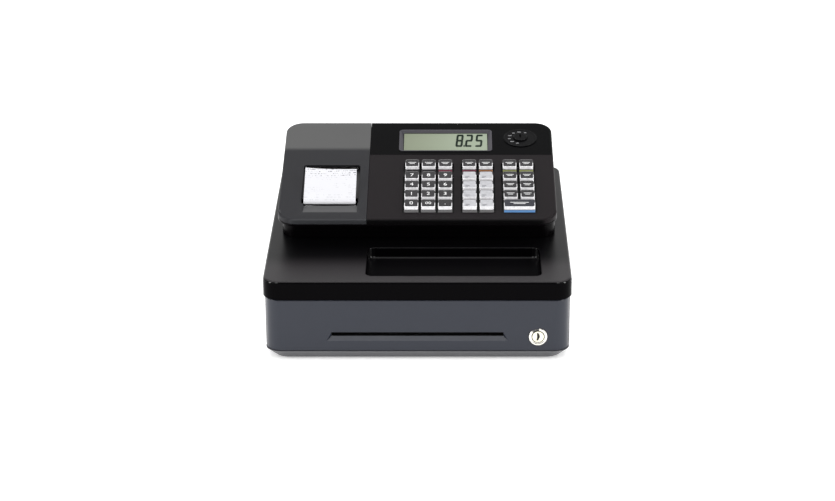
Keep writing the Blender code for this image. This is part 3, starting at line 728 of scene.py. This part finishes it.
def lock():
    """Nickel ring with a notch, and the plug with its curved keyhole and its cam; a black ring in the gap and
    a black disc in the keyhole are painted shade.
    """
    low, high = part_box("lock_housing")
    at = Vector(JOINTS["lock_turn"]["pos_m"])

    def disc(name, radius, start, end, sides=72):
        return drum(name, radius, (at.x, start, at.z), (at.x, end, at.z), sides)

    ring = disc("lock_ring", 0.0100, low.y, -0.1788)
    round_edges(ring, lambda edge: all(vert.co.y < low.y + 1e-5 for vert in edge.verts), 0.0008, 4)
    carve(ring, disc("barrel", 0.0083, -0.1790, high.y), operation="UNION")
    carve(ring, disc("hole", 0.0071, -0.2, -0.1))
    groove = disc("groove", 0.0082, -0.2, low.y + 0.0011)
    notch = block("notch", (at.x - 0.0062, -0.2, at.z + 0.0050),
                  (at.x + 0.0012, low.y + 0.0012, at.z + 0.012))
    carve(ring, groove, notch)
    soften(ring, 0.00012, 2)
    show(ring, LOOKS["nickel"], "drawer", "lock_housing")
    # A thin black ring in the gap between ring and plug: painted shade.
    dark = disc("lock_gap_painted_shade", 0.0081, at.y - 0.00036, at.y - 0.00030)
    carve(dark, disc("hole", 0.0069, -0.2, -0.1))
    show(dark, LOOKS["painted_shade_black"], "drawer")

    plug = disc("lock_plug_turning", 0.0062, at.y - 0.0008, at.y + 0.0140)
    carve(plug, disc("stub", 0.004, at.y + 0.013, at.y + 0.0175, 32),
          block("cam", (at.x, at.y + 0.0152, at.z - 0.003), (at.x + 0.0113, at.y + 0.0175, at.z + 0.003)),
          operation="UNION")
    half_height = 0.0044
    steps = 8
    for step in range(steps):
        rise = -half_height + step * 2.0 * half_height / steps
        swell = math.cos(rise / half_height * math.pi / 2.0)
        left = at.x - 0.0008 + 0.0012 * swell - (0.0009 + 0.0006 * swell)
        right = at.x - 0.0008 + 0.0012 * swell + (0.0009 + 0.0006 * swell)
        top = at.z + rise + 2.05 * half_height / steps
        carve(plug, block("slit", (left, -0.2, at.z + rise), (right, at.y + 0.0025, top)))
    soften(plug, 0.00012, 2)
    show(plug, LOOKS["cream_metal"], "lock_plug", "lock_plug")
    # A black disc inside the keyhole: painted shade.
    back = disc("keyhole_painted_shade", 0.0052, at.y + 0.0006, at.y + 0.0024, 24)
    show(back, LOOKS["painted_shade_black"], "lock_plug")


def drawer_inside():
    """Bin, coin tray and bill clips."""
    show(refined("drawer_bin", "bin_moulding", 0.0006), LOOKS["inner_grey"], "drawer", "drawer_bin")
    show(refined("coin_tray", "coin_moulding", 0.0005), LOOKS["inner_black"], "drawer", "coin_tray")
    for index in range(4):
        body = "bill_clip_%d" % (index + 1)
        show(refined(body, "note_arm_%d" % (index + 1), 0.0003), LOOKS["steel"], body, body)


# -------- sloped unit
def neck():
    """Black neck under the lid, with the plate that reaches forward under the keys."""
    low = COVER_HIGH.z + GAP

    def lean_in(piece, foot):
        back = max(vert.co.y for vert in piece.data.vertices)
        return reshape(piece, lambda co: co.y > back - 1e-6,
                       lambda co: Vector((co.x, foot - (co.z - low) * NECK_LEAN, co.z)))

    shell = lean_in(block("neck", (-0.153, -0.053, low), (0.153, 0.150, 0.175)), 0.150)
    round_edges(shell, upright, 0.018, 12)
    top = -SKIRT - GAP
    plate = block("plate", (LID_LEFT, 0.0, top - 0.0025), (LID_RIGHT, LID_LENGTH, top + 0.001))
    carve(shell, on_slope(round_edges(plate, upright, UNIT_CORNER, 12)), operation="UNION")
    above = on_slope(block("above", (-0.3, -0.1, top), (0.3, 0.3, 0.1)))
    hollow = lean_in(block("hollow", (-0.150, -0.050, low + 0.003), (0.150, 0.150, 0.180)), 0.1467)
    carve(shell, above, round_edges(hollow, upright, 0.015, 10))
    soften(shell, 0.0006, 2)
    show(shell, LOOKS["neck_black"], "case", "unit_lower_case")


def lid_slab(name, left, right):
    """One side of the sloped lid, rounded at its outer corner and rim and hollowed from below."""
    outer = left if left < SPLIT - 0.01 else right
    slab = block(name, (left, 0.0, -SKIRT), (right, LID_LENGTH, 0.0))
    round_edges(slab, lambda edge: upright(edge) and abs(middle(edge).x - outer) < 1e-5, UNIT_CORNER, 14)
    inner_x = right if outer == left else left

    def rim_edge(edge):
        return level_at(0.0)(edge) and not all(abs(vert.co.x - inner_x) < 1e-5 for vert in edge.verts)

    round_edges(slab, rim_edge, LID_RIM, 5)
    hollow = block("hollow", (left + WALL, WALL, -0.02), (right - WALL, LID_LENGTH - WALL, -WALL))
    hollow_outer = outer + math.copysign(WALL, inner_x - outer)
    round_edges(hollow, lambda edge: upright(edge) and abs(middle(edge).x - hollow_outer) < 1e-5,
                UNIT_CORNER - WALL, 10)
    return carve(slab, hollow)


def keyboard_lid():
    """Keyboard and display side, with openings for keys, screen and switch."""
    lid = lid_slab("keyboard_lid", SPLIT + 0.0002, LID_RIGHT)
    margin = 0.0008
    for columns in KEY_BLOCKS.values():
        left = columns[0] - KEY.x / 2.0 - margin
        right = columns[-1] + KEY.x / 2.0 + margin
        for first, last in ((KEY_ROWS[0], KEY_ROWS[-1]), (KEY_TOP_ROW, KEY_TOP_ROW)):
            opening = block("opening", (left, first - margin, -0.01), (right, last + KEY.y + margin, 0.01))
            carve(lid, round_edges(opening, upright, 0.0020, 4))
    flange = Vector((0.0006, 0.0006))
    carve(lid, block("screen", (*(WINDOW[0] + flange), -0.01), (*(WINDOW[1] - flange), 0.01)))
    carve(lid, drum("switch", PLUG_RADIUS + 0.0004, (DIAL.x, DIAL_UP, -0.01), (DIAL.x, DIAL_UP, 0.01), 48))
    half_groove = 0.00025
    carve(lid, block("groove", (SPLIT - 0.01, BRIM - half_groove, -0.0003),
                     (LID_RIGHT + 0.01, BRIM + half_groove, 0.01)))
    soften(lid, 0.0003, 2, 50.0)
    show(on_slope(lid), LOOKS["keyboard_black"], "case", "unit_upper_case")


def printer_lid():
    """Printer cover with its soft nose, paper mouth and ramp."""
    lid = lid_slab("printer_lid", LID_LEFT, SPLIT - 0.0002)
    low, high = MOUTH
    pad = block("pad", (low.x - 0.003, 0.011, -0.006), (high.x + 0.003, low.y + 0.003, -0.002))
    carve(lid, pad, operation="UNION")
    mouth = round_edges(block("mouth", (*low, -0.01), (*high, 0.01)), upright, 0.003, 6)
    ramp = block("ramp", (low.x + 0.003, 0.0146, 0.0), (high.x - 0.001, low.y + 0.004, 0.005))
    reshape(ramp, lambda co: co.z < 0.001 and co.y > 0.02, lambda co: Vector((co.x, co.y, -0.0040)))
    carve(lid, mouth, ramp)
    soften(lid, 0.0005, 3, 12.0)
    # The ramp's faces take the lighter grey, a painted sheen.
    paint(lid, ("cover_grey", "ramp_painted_sheen"), lambda face: face.normal.z > 0.9
          and 0.0150 < middle(face).y < 0.0369 and -0.0045 < middle(face).z < -0.00002)
    show(on_slope(lid), None, "printer_cover", "printer_cover")


def display():
    """Window let into the lid, with sides that slope down to the glass."""
    low, high = WINDOW
    rim = round_edges(block("display_frame", (*low, GAP), (*high, WINDOW_RIM)), upright, 0.0045, 8)
    inset = Vector((0.0009, 0.0009))
    body = block("body", (*(low + inset), SCREEN_TOP), (*(high - inset), WINDOW_RIM - 0.0002))
    carve(rim, round_edges(body, upright, 0.0036, 6), operation="UNION")
    well = block("well", (*SCREEN[0], SCREEN_TOP - 0.001), (*SCREEN[1], WINDOW_RIM + 0.0001))
    lip = 0.0012
    for vert in well.data.vertices:
        if vert.co.z > 0.0:
            for axis in (0, 1):
                near = abs(vert.co[axis] - SCREEN[0][axis]) < 1e-6
                vert.co[axis] = low[axis] + lip if near else high[axis] - lip
    round_edges(well, lambda edge: abs(middle(edge).z - (SCREEN_TOP + WINDOW_RIM) / 2.0) < 0.0008, 0.0012, 4)
    carve(rim, well)
    soften(rim, 0.0003, 3, 20.0)
    show(on_slope(rim), LOOKS["frame_grey"], "case", "display_window")
    top = SCREEN_TOP - GAP
    glass = block("display_glass", (SCREEN[0].x - 0.0006, SCREEN[0].y - 0.0006, top - 0.0055),
                  (SCREEN[1].x + 0.0006, SCREEN[1].y + 0.0006, top))
    soften(glass, 0.0002, 2)
    show(on_slope(glass), LOOKS["screen_glass"], "case", "lcd_module")


def joined(name, pieces):
    """One piece from several."""
    bpy.ops.object.select_all(action="DESELECT")
    for piece in pieces:
        piece.select_set(True)
    bpy.context.view_layer.objects.active = pieces[0]
    if len(pieces) > 1:
        bpy.ops.object.join()
    pieces[0].name = name
    return pieces[0]


def digits():
    """Seven-segment digits that stand on the glass."""
    lit = {"8": "abcdefg", "2": "abged", "5": "afgcd"}
    wide = 0.0058
    tall = 0.0240
    foot = 0.1612
    slant = 0.07
    low = SCREEN_TOP - GAP
    across_bar = Vector((wide / 2.0 + 0.0006, 0.0018, 0.0))
    upright_bar = Vector((0.0012, tall / 4.0 - 0.0004, 0.0))
    spots = {"a": (0.0, 1.0), "g": (0.0, 0.5), "d": (0.0, 0.0), "f": (-0.5, 0.75), "b": (0.5, 0.75),
             "e": (-0.5, 0.25), "c": (0.5, 0.25)}
    bars = [block("point", (0.0514, foot - 0.0014, low), (0.0532, foot + 0.0018, low + 0.0002))]
    for digit, x in (("8", 0.0462), ("2", 0.0572), ("5", 0.0688)):
        for name in lit[digit]:
            across, rise = spots[name]
            half = across_bar if name in "adg" else upright_bar
            centre = Vector((x + across * wide, foot + rise * tall, low + 0.0001))
            half = half + Vector((0.0, 0.0, 0.0001))
            bars.append(round_edges(block("bar", centre - half, centre + half), upright, 0.0006, 1))
    reading = joined("display_digits", bars)
    reshape(reading, lambda co: True, lambda co: co + Vector(((co.y - foot - tall / 2.0) * slant, 0.0, 0.0)))
    show(on_slope(reading), LOOKS["digit_ink"], "case")


def switch():
    """Ring with printed marks, and the key switch in it."""
    spot = Vector((DIAL.x, DIAL_UP, 0.0))
    ring = drum("switch_ring", DIAL_RADIUS, spot + Vector((0, 0, GAP)), spot + Vector((0, 0, RING_TOP)), 96)
    round_edges(ring, level_at(RING_TOP), 0.0005, 3)
    deep = Vector((0, 0, 0.01))
    carve(ring, drum("hole", PLUG_RADIUS + 0.0004, spot - deep, spot + deep, 64))
    dish = drum("dish", DIAL_RADIUS - 0.0022, spot + Vector((0, 0, 0.0010)), spot + deep, 96)
    carve(ring, dish)
    show(on_slope(ring), LOOKS["dial_black"], "case", "mode_dial")
    marks = []
    for index in range(7):
        angle = math.radians(62.0 + index * 32.0)
        length = 0.0042 if index % 2 else 0.0030
        for line in range(2):
            reach = 0.0128
            mark = block("mark", (reach - length / 2.0, -0.00060 + line * 0.0010, 0.0010),
                         (reach + length / 2.0, -0.00010 + line * 0.0010, 0.00106))
            turn = Matrix.Translation(spot) @ Matrix.Rotation(angle, 4, "Z")
            level = Matrix.Translation((reach, 0.0, 0.0)) @ Matrix.Rotation(-angle, 4, "Z") \
                @ Matrix.Translation((-reach, 0.0, 0.0))
            mark.data.transform(turn @ level)
            marks.append(mark)
    show(on_slope(joined("switch_marks", marks)), LOOKS["print_dim"], "case")
    plug = drum("switch_plug", PLUG_RADIUS, spot - Vector((0, 0, 0.005)), spot + Vector((0, 0, PLUG_TOP)), 64)
    round_edges(plug, level_at(PLUG_TOP), 0.0008, 4)
    half_slit = Vector((0.0009, 0.0046))
    slit = (*(spot.xy - half_slit), 0.001), (*(spot.xy + half_slit), 0.01)
    carve(plug, block("slit", *slit))
    soften(plug, 0.0002, 2)
    show(on_slope(plug), LOOKS["dial_black"], "mode_plug", "mode_plug")


# -------- keys
def cap_mesh(width):
    """Clear cap: tapered flanks, a rim and front lip painted bright as highlight, painted shade on its flanks
    and back, and a sunk top for its label.
    """
    cap = block("cap", (-width / 2.0, -KEY.y / 2.0, KEY_FOOT), (width / 2.0, KEY.y / 2.0, KEY.z))
    reshape(cap, lambda co: co.z > 0.0, lambda co: Vector((
        co.x - math.copysign(CAP_SIDE, co.x), co.y - (CAP_BACK if co.y > 0.0 else -CAP_FRONT), co.z)))
    round_edges(cap, lambda edge: abs(middle(edge).z - (KEY.z + KEY_FOOT) / 2.0) < 1e-4, 0.0022, 5)
    pick(cap, "FACE", lambda face: face.normal.z > 0.9)
    bpy.ops.mesh.inset(thickness=CAP_RIM)
    bpy.ops.mesh.inset(thickness=0.00020, depth=-CAP_SUNK)
    close()
    for at, across in (((0.0, 0.0, CAP_LOW), (0.0, 0.0, 1.0)), ((0.0, 0.0, CAP_HIGH), (0.0, 0.0, 1.0)),
                       ((0.0, CAP_MIDDLE, 0.0), (0.0, 1.0, 0.0))):
        pick(cap, "FACE", lambda face: True)
        bpy.ops.mesh.bisect(plane_co=at, plane_no=across)
        close()
    soften(cap, 0.0003, 3, 25.0)

    # Faces that take the dark copy: painted shade on the flanks, the back and the foot.
    def shaded(face):
        at = middle(face)
        flank = abs(face.normal.z) < 0.9 and face.normal.y > -0.5 and at.z < CAP_HIGH
        return flank or at.y > CAP_MIDDLE or at.z < CAP_LOW

    paint(cap, ("cap_painted_highlight", "cap_painted_shade"), shaded)
    return cap


def key_caps():
    """One clear cap, one label and its print for each key."""
    narrow = cap_mesh(KEY.x)
    left, right = KEY_BLOCKS["right"]
    wide = cap_mesh(KEY.x + right - left)
    strips = {("left", 2): "strip_red", ("middle", 0): "strip_red", ("middle", 1): "strip_orange",
              ("right", 0): "strip_lime", ("right", 1): "strip_lime"}
    numbers = (("0", "00", "."), ("1", "2", "3"), ("4", "5", "6"), ("7", "8", "9"))
    for block_name, columns in KEY_BLOCKS.items():
        for column, x in enumerate(columns):
            one_key("key_%s_top_%d" % (block_name, column + 1), narrow, x, KEY_TOP_ROW, KEY.x,
                    "label_grey", None, strips.get((block_name, column)))
            for row, up in enumerate(KEY_ROWS):
                if block_name == "right" and row == 0:
                    continue
                name = "key_%s_%d_%d" % (block_name, row + 1, column + 1)
                look = "label_white" if block_name == "middle" else "label_grey"
                glyph = numbers[row][column] if block_name == "left" else None
                one_key(name, narrow, x, up, KEY.x, look, glyph, None)
    one_key("key_total", wide, (left + right) / 2.0, KEY_ROWS[0], KEY.x + right - left, "label_navy", None,
            "strip_blue")
    bpy.data.objects.remove(narrow)
    bpy.data.objects.remove(wide)


def place_copy(source, name, x, up):
    """A copy of a piece with its own mesh, moved to its place on the slope."""
    made = bpy.data.objects.new(name, source.data.copy())
    bpy.context.scene.collection.objects.link(made)
    made.data.transform(ON_SLOPE @ Matrix.Translation((x, up + KEY.y / 2.0, 0.0)))
    return made


def glyph_mesh(text, height):
    """A number as a thin mesh."""
    bpy.ops.object.select_all(action="DESELECT")
    bpy.ops.object.text_add()
    words = bpy.context.object
    words.data.body = text
    words.data.size = height
    words.data.align_x = "CENTER"
    words.data.align_y = "CENTER"
    words.data.extrude = 0.00004
    words.data.resolution_u = 4
    bpy.ops.object.convert(target="MESH")
    return bpy.context.object


def one_key(body, cap, x, up, width, look, glyph, strip):
    """Cap, label, print and colour strip of one key, all riding on its body."""
    piece = place_copy(cap, body + "_cap", x, up)
    show(piece, None, body, body)
    rim = CAP_RIM + 0.0002
    half = Vector((width / 2.0 - CAP_SIDE - rim, (KEY.y - CAP_FRONT - CAP_BACK) / 2.0 - rim))
    off = (CAP_FRONT - CAP_BACK) / 2.0
    top = KEY.z - CAP_SUNK
    card = block("card", (-half.x, off - half.y, top - 0.0002), (half.x, off + half.y, top + 0.00022))
    round_edges(card, upright, 0.0016, 4)
    labelled = place_copy(card, body + "_label", x, up)
    bpy.data.objects.remove(card)
    show(labelled, LOOKS[look], body)
    if glyph:
        marks = glyph_mesh(glyph, 0.0085 if glyph != "00" else 0.0068)
        marks.data.transform(Matrix.Translation((0.0, off, top + 0.00026)))
    else:
        dark = look == "label_white"
        bars = []
        for row in range(2):
            reach = half.x * (0.62 - 0.22 * row)
            start = -half.x * 0.68 if dark else -reach
            end = start + reach * (1.1 if dark else 2.0)
            rise = off + (-0.0034 if dark else 0.0010) - row * 0.0026
            bars.append(block("bar", (start, rise, top + 0.00022), (end, rise + 0.0008, top + 0.0003)))
        marks = joined("marks", bars)
    printed = place_copy(marks, body + "_print", x, up)
    bpy.data.objects.remove(marks)
    show(printed, LOOKS["print_grey" if look == "label_white" else "print_white"], body)
    if strip:
        bar = block("bar", (-width / 2.0 + 0.0012, -KEY.y / 2.0 - 0.00012, 0.0002),
                    (width / 2.0 - 0.0012, -KEY.y / 2.0 + 0.0008, 0.0022))
        reshape(bar, lambda co: co.z > 0.001, lambda co: co + Vector((0.0, 0.00070, 0.0)))
        coloured = place_copy(bar, body + "_strip", x, up)
        bpy.data.objects.remove(bar)
        show(coloured, LOOKS[strip], body)


# -------- printer and back
def receipt_strip():
    """Curled strip of printed paper that stands out of the mouth."""
    bends = ((0.0352, -0.0022), (0.0360, 0.0070), (0.0600, 0.0030), (0.0875, 0.0112))
    bpy.ops.object.select_all(action="DESELECT")
    bpy.ops.mesh.primitive_grid_add(x_subdivisions=16, y_subdivisions=40, size=1.0)
    strip = bpy.context.object
    strip.name = "receipt_strip"

    def curl(co):
        across = co.x * 2.0
        t = co.y + 0.5
        weights = ((1 - t) ** 3, 3 * t * (1 - t) ** 2, 3 * t * t * (1 - t), t ** 3)
        at = sum((Vector(bend) * weight for bend, weight in zip(bends, weights)), Vector((0.0, 0.0)))
        slant = -0.0020 * t * t * across
        ripple = 0.0004 * math.sin(across * 2.4 + 1.0) * t
        lift = 0.0016 * t * t * (across * across)
        return Vector((PAPER_X + across * PAPER_HALF, at.x + slant, at.y + lift + ripple))

    reshape(strip, lambda co: True, curl)
    on_slope(strip)
    modify(strip, "SOLIDIFY", thickness=0.00012, offset=0.0)
    show(strip, LOOKS["receipt_paper"], "printer_cover", "receipt", angle=60.0)


def paper_roll():
    """Wound roll on its card core."""
    at = Vector(JOINTS["paper_roll_spin"]["pos_m"])
    half = Vector((PAPER_HALF, 0.0, 0.0))
    roll = drum("wound_paper", 0.025, at - half, at + half, 96)
    carve(roll, drum("hole", 0.0086, at - half * 2.0, at + half * 2.0, 48))
    soften(roll, 0.0004, 2)
    show(roll, LOOKS["roll_paper"], "paper_roll", "paper_roll")
    core = drum("roll_core", 0.0085, at - half, at + half, 48)
    carve(core, drum("hole", 0.006, at - half * 2.0, at + half * 2.0, 48))
    show(core, LOOKS["card_core"], "paper_roll")


def printer_inside():
    """Printer's frame, arm and roller."""
    show(refined("printer_frame", "printer_chassis", 0.0004), LOOKS["inner_black"], "case", "printer_frame")
    show(refined("platen_arm", "platen_bail", 0.0003), LOOKS["steel"], "platen_arm", "platen_arm")
    show(refined("platen_roller", "platen_rubber", 0.0002), LOOKS["rubber"], "platen_roller", "platen_roller")
    show(refined("keyboard_board", "contact_board", 0.0002), LOOKS["circuit_board"], "case", "keyboard_board")


def back_fittings():
    """Customer's window and the inlet on the back."""
    show(refined("rear_display_window", "rear_window", 0.0006, 3), LOOKS["window_black"], "case",
         "rear_display_window")
    show(refined("power_inlet", "inlet_block", 0.0004), LOOKS["inner_black"], "case", "power_inlet")
    pin = drum("inlet_pin", 0.0012, (0.118, 0.168, 0.038), (0.118, 0.1775, 0.038), 24)
    round_edges(pin, lambda edge: all(vert.co.y > 0.177 for vert in edge.verts), 0.0005, 3)
    show(pin, LOOKS["nickel"], "case")


# -------- stage
def stage():
    """Pale floor, soft lights and the camera."""
    scene = bpy.context.scene
    bpy.ops.object.select_all(action="DESELECT")
    bpy.ops.mesh.primitive_plane_add(size=24.0, location=(0.0, 0.0, cad_low.z))
    floor = bpy.context.object
    floor.name = "floor"
    pale = Finish("pale_floor", (0.92, 0.92, 0.92), 0.9, Specular_IOR_Level=0.0, Emission_Strength=0.35)
    pale.shader.inputs["Emission Color"].default_value = (1.0, 1.0, 1.0, 1.0)
    floor.data.materials.append(pale.material)

    world = bpy.data.worlds.new("studio")
    world.use_nodes = True
    background = world.node_tree.nodes["Background"]
    background.inputs["Color"].default_value = (1.0, 1.0, 1.0, 1.0)
    background.inputs["Strength"].default_value = 0.34
    scene.world = world
    scene.view_settings.view_transform = "Standard"

    def lamp(name, kind, place, power):
        light = bpy.data.lights.new(name, kind)
        light.energy = power
        made = bpy.data.objects.new(name, light)
        made.location = place
        made.rotation_euler = (Vector((0.0, 0.0, 0.08)) - Vector(place)).to_track_quat("-Z", "Y").to_euler()
        scene.collection.objects.link(made)
        return light

    overhead = lamp("overhead", "SUN", (0.0, 0.6, 4.0), 1.6)
    overhead.angle = math.radians(60.0)
    for name, place, size, power in (("backdrop", (0.0, 3.2, 1.15), (6.5, 1.9), 25.0),
                                     ("front_box", (0.0, -2.4, 2.6), (2.6, 1.2), 42.0),
                                     ("left_strip", (-1.7, -0.9, 0.7), (0.4, 1.4), 15.0),
                                     ("right_strip", (1.7, -0.9, 0.7), (0.4, 1.4), 15.0),
                                     ("left_high", (-2.1, 0.2, 1.9), (0.16, 0.16), 12.0),
                                     ("right_high", (2.1, 0.2, 1.9), (0.16, 0.16), 12.0)):
        panel = lamp(name, "AREA", place, power)
        panel.shape = "RECTANGLE"
        panel.size, panel.size_y = size

    lens = bpy.data.cameras.new("camera")
    lens.sensor_width = 36.0
    lens.lens = 105.2
    lens.shift_x = -0.0401
    camera = bpy.data.objects.new("camera", lens)
    camera.location = (0.0362, -2.583, 1.116)
    camera.rotation_euler = (math.radians(67.7), 0.0, 0.0)
    scene.collection.objects.link(camera)
    scene.camera = camera


base_shell()
foot_pads()
cover_shell()
front_panel()
lock()
drawer_inside()
neck()
keyboard_lid()
printer_lid()
display()
digits()
switch()
key_caps()
receipt_strip()
paper_roll()
printer_inside()
back_fittings()
stage()
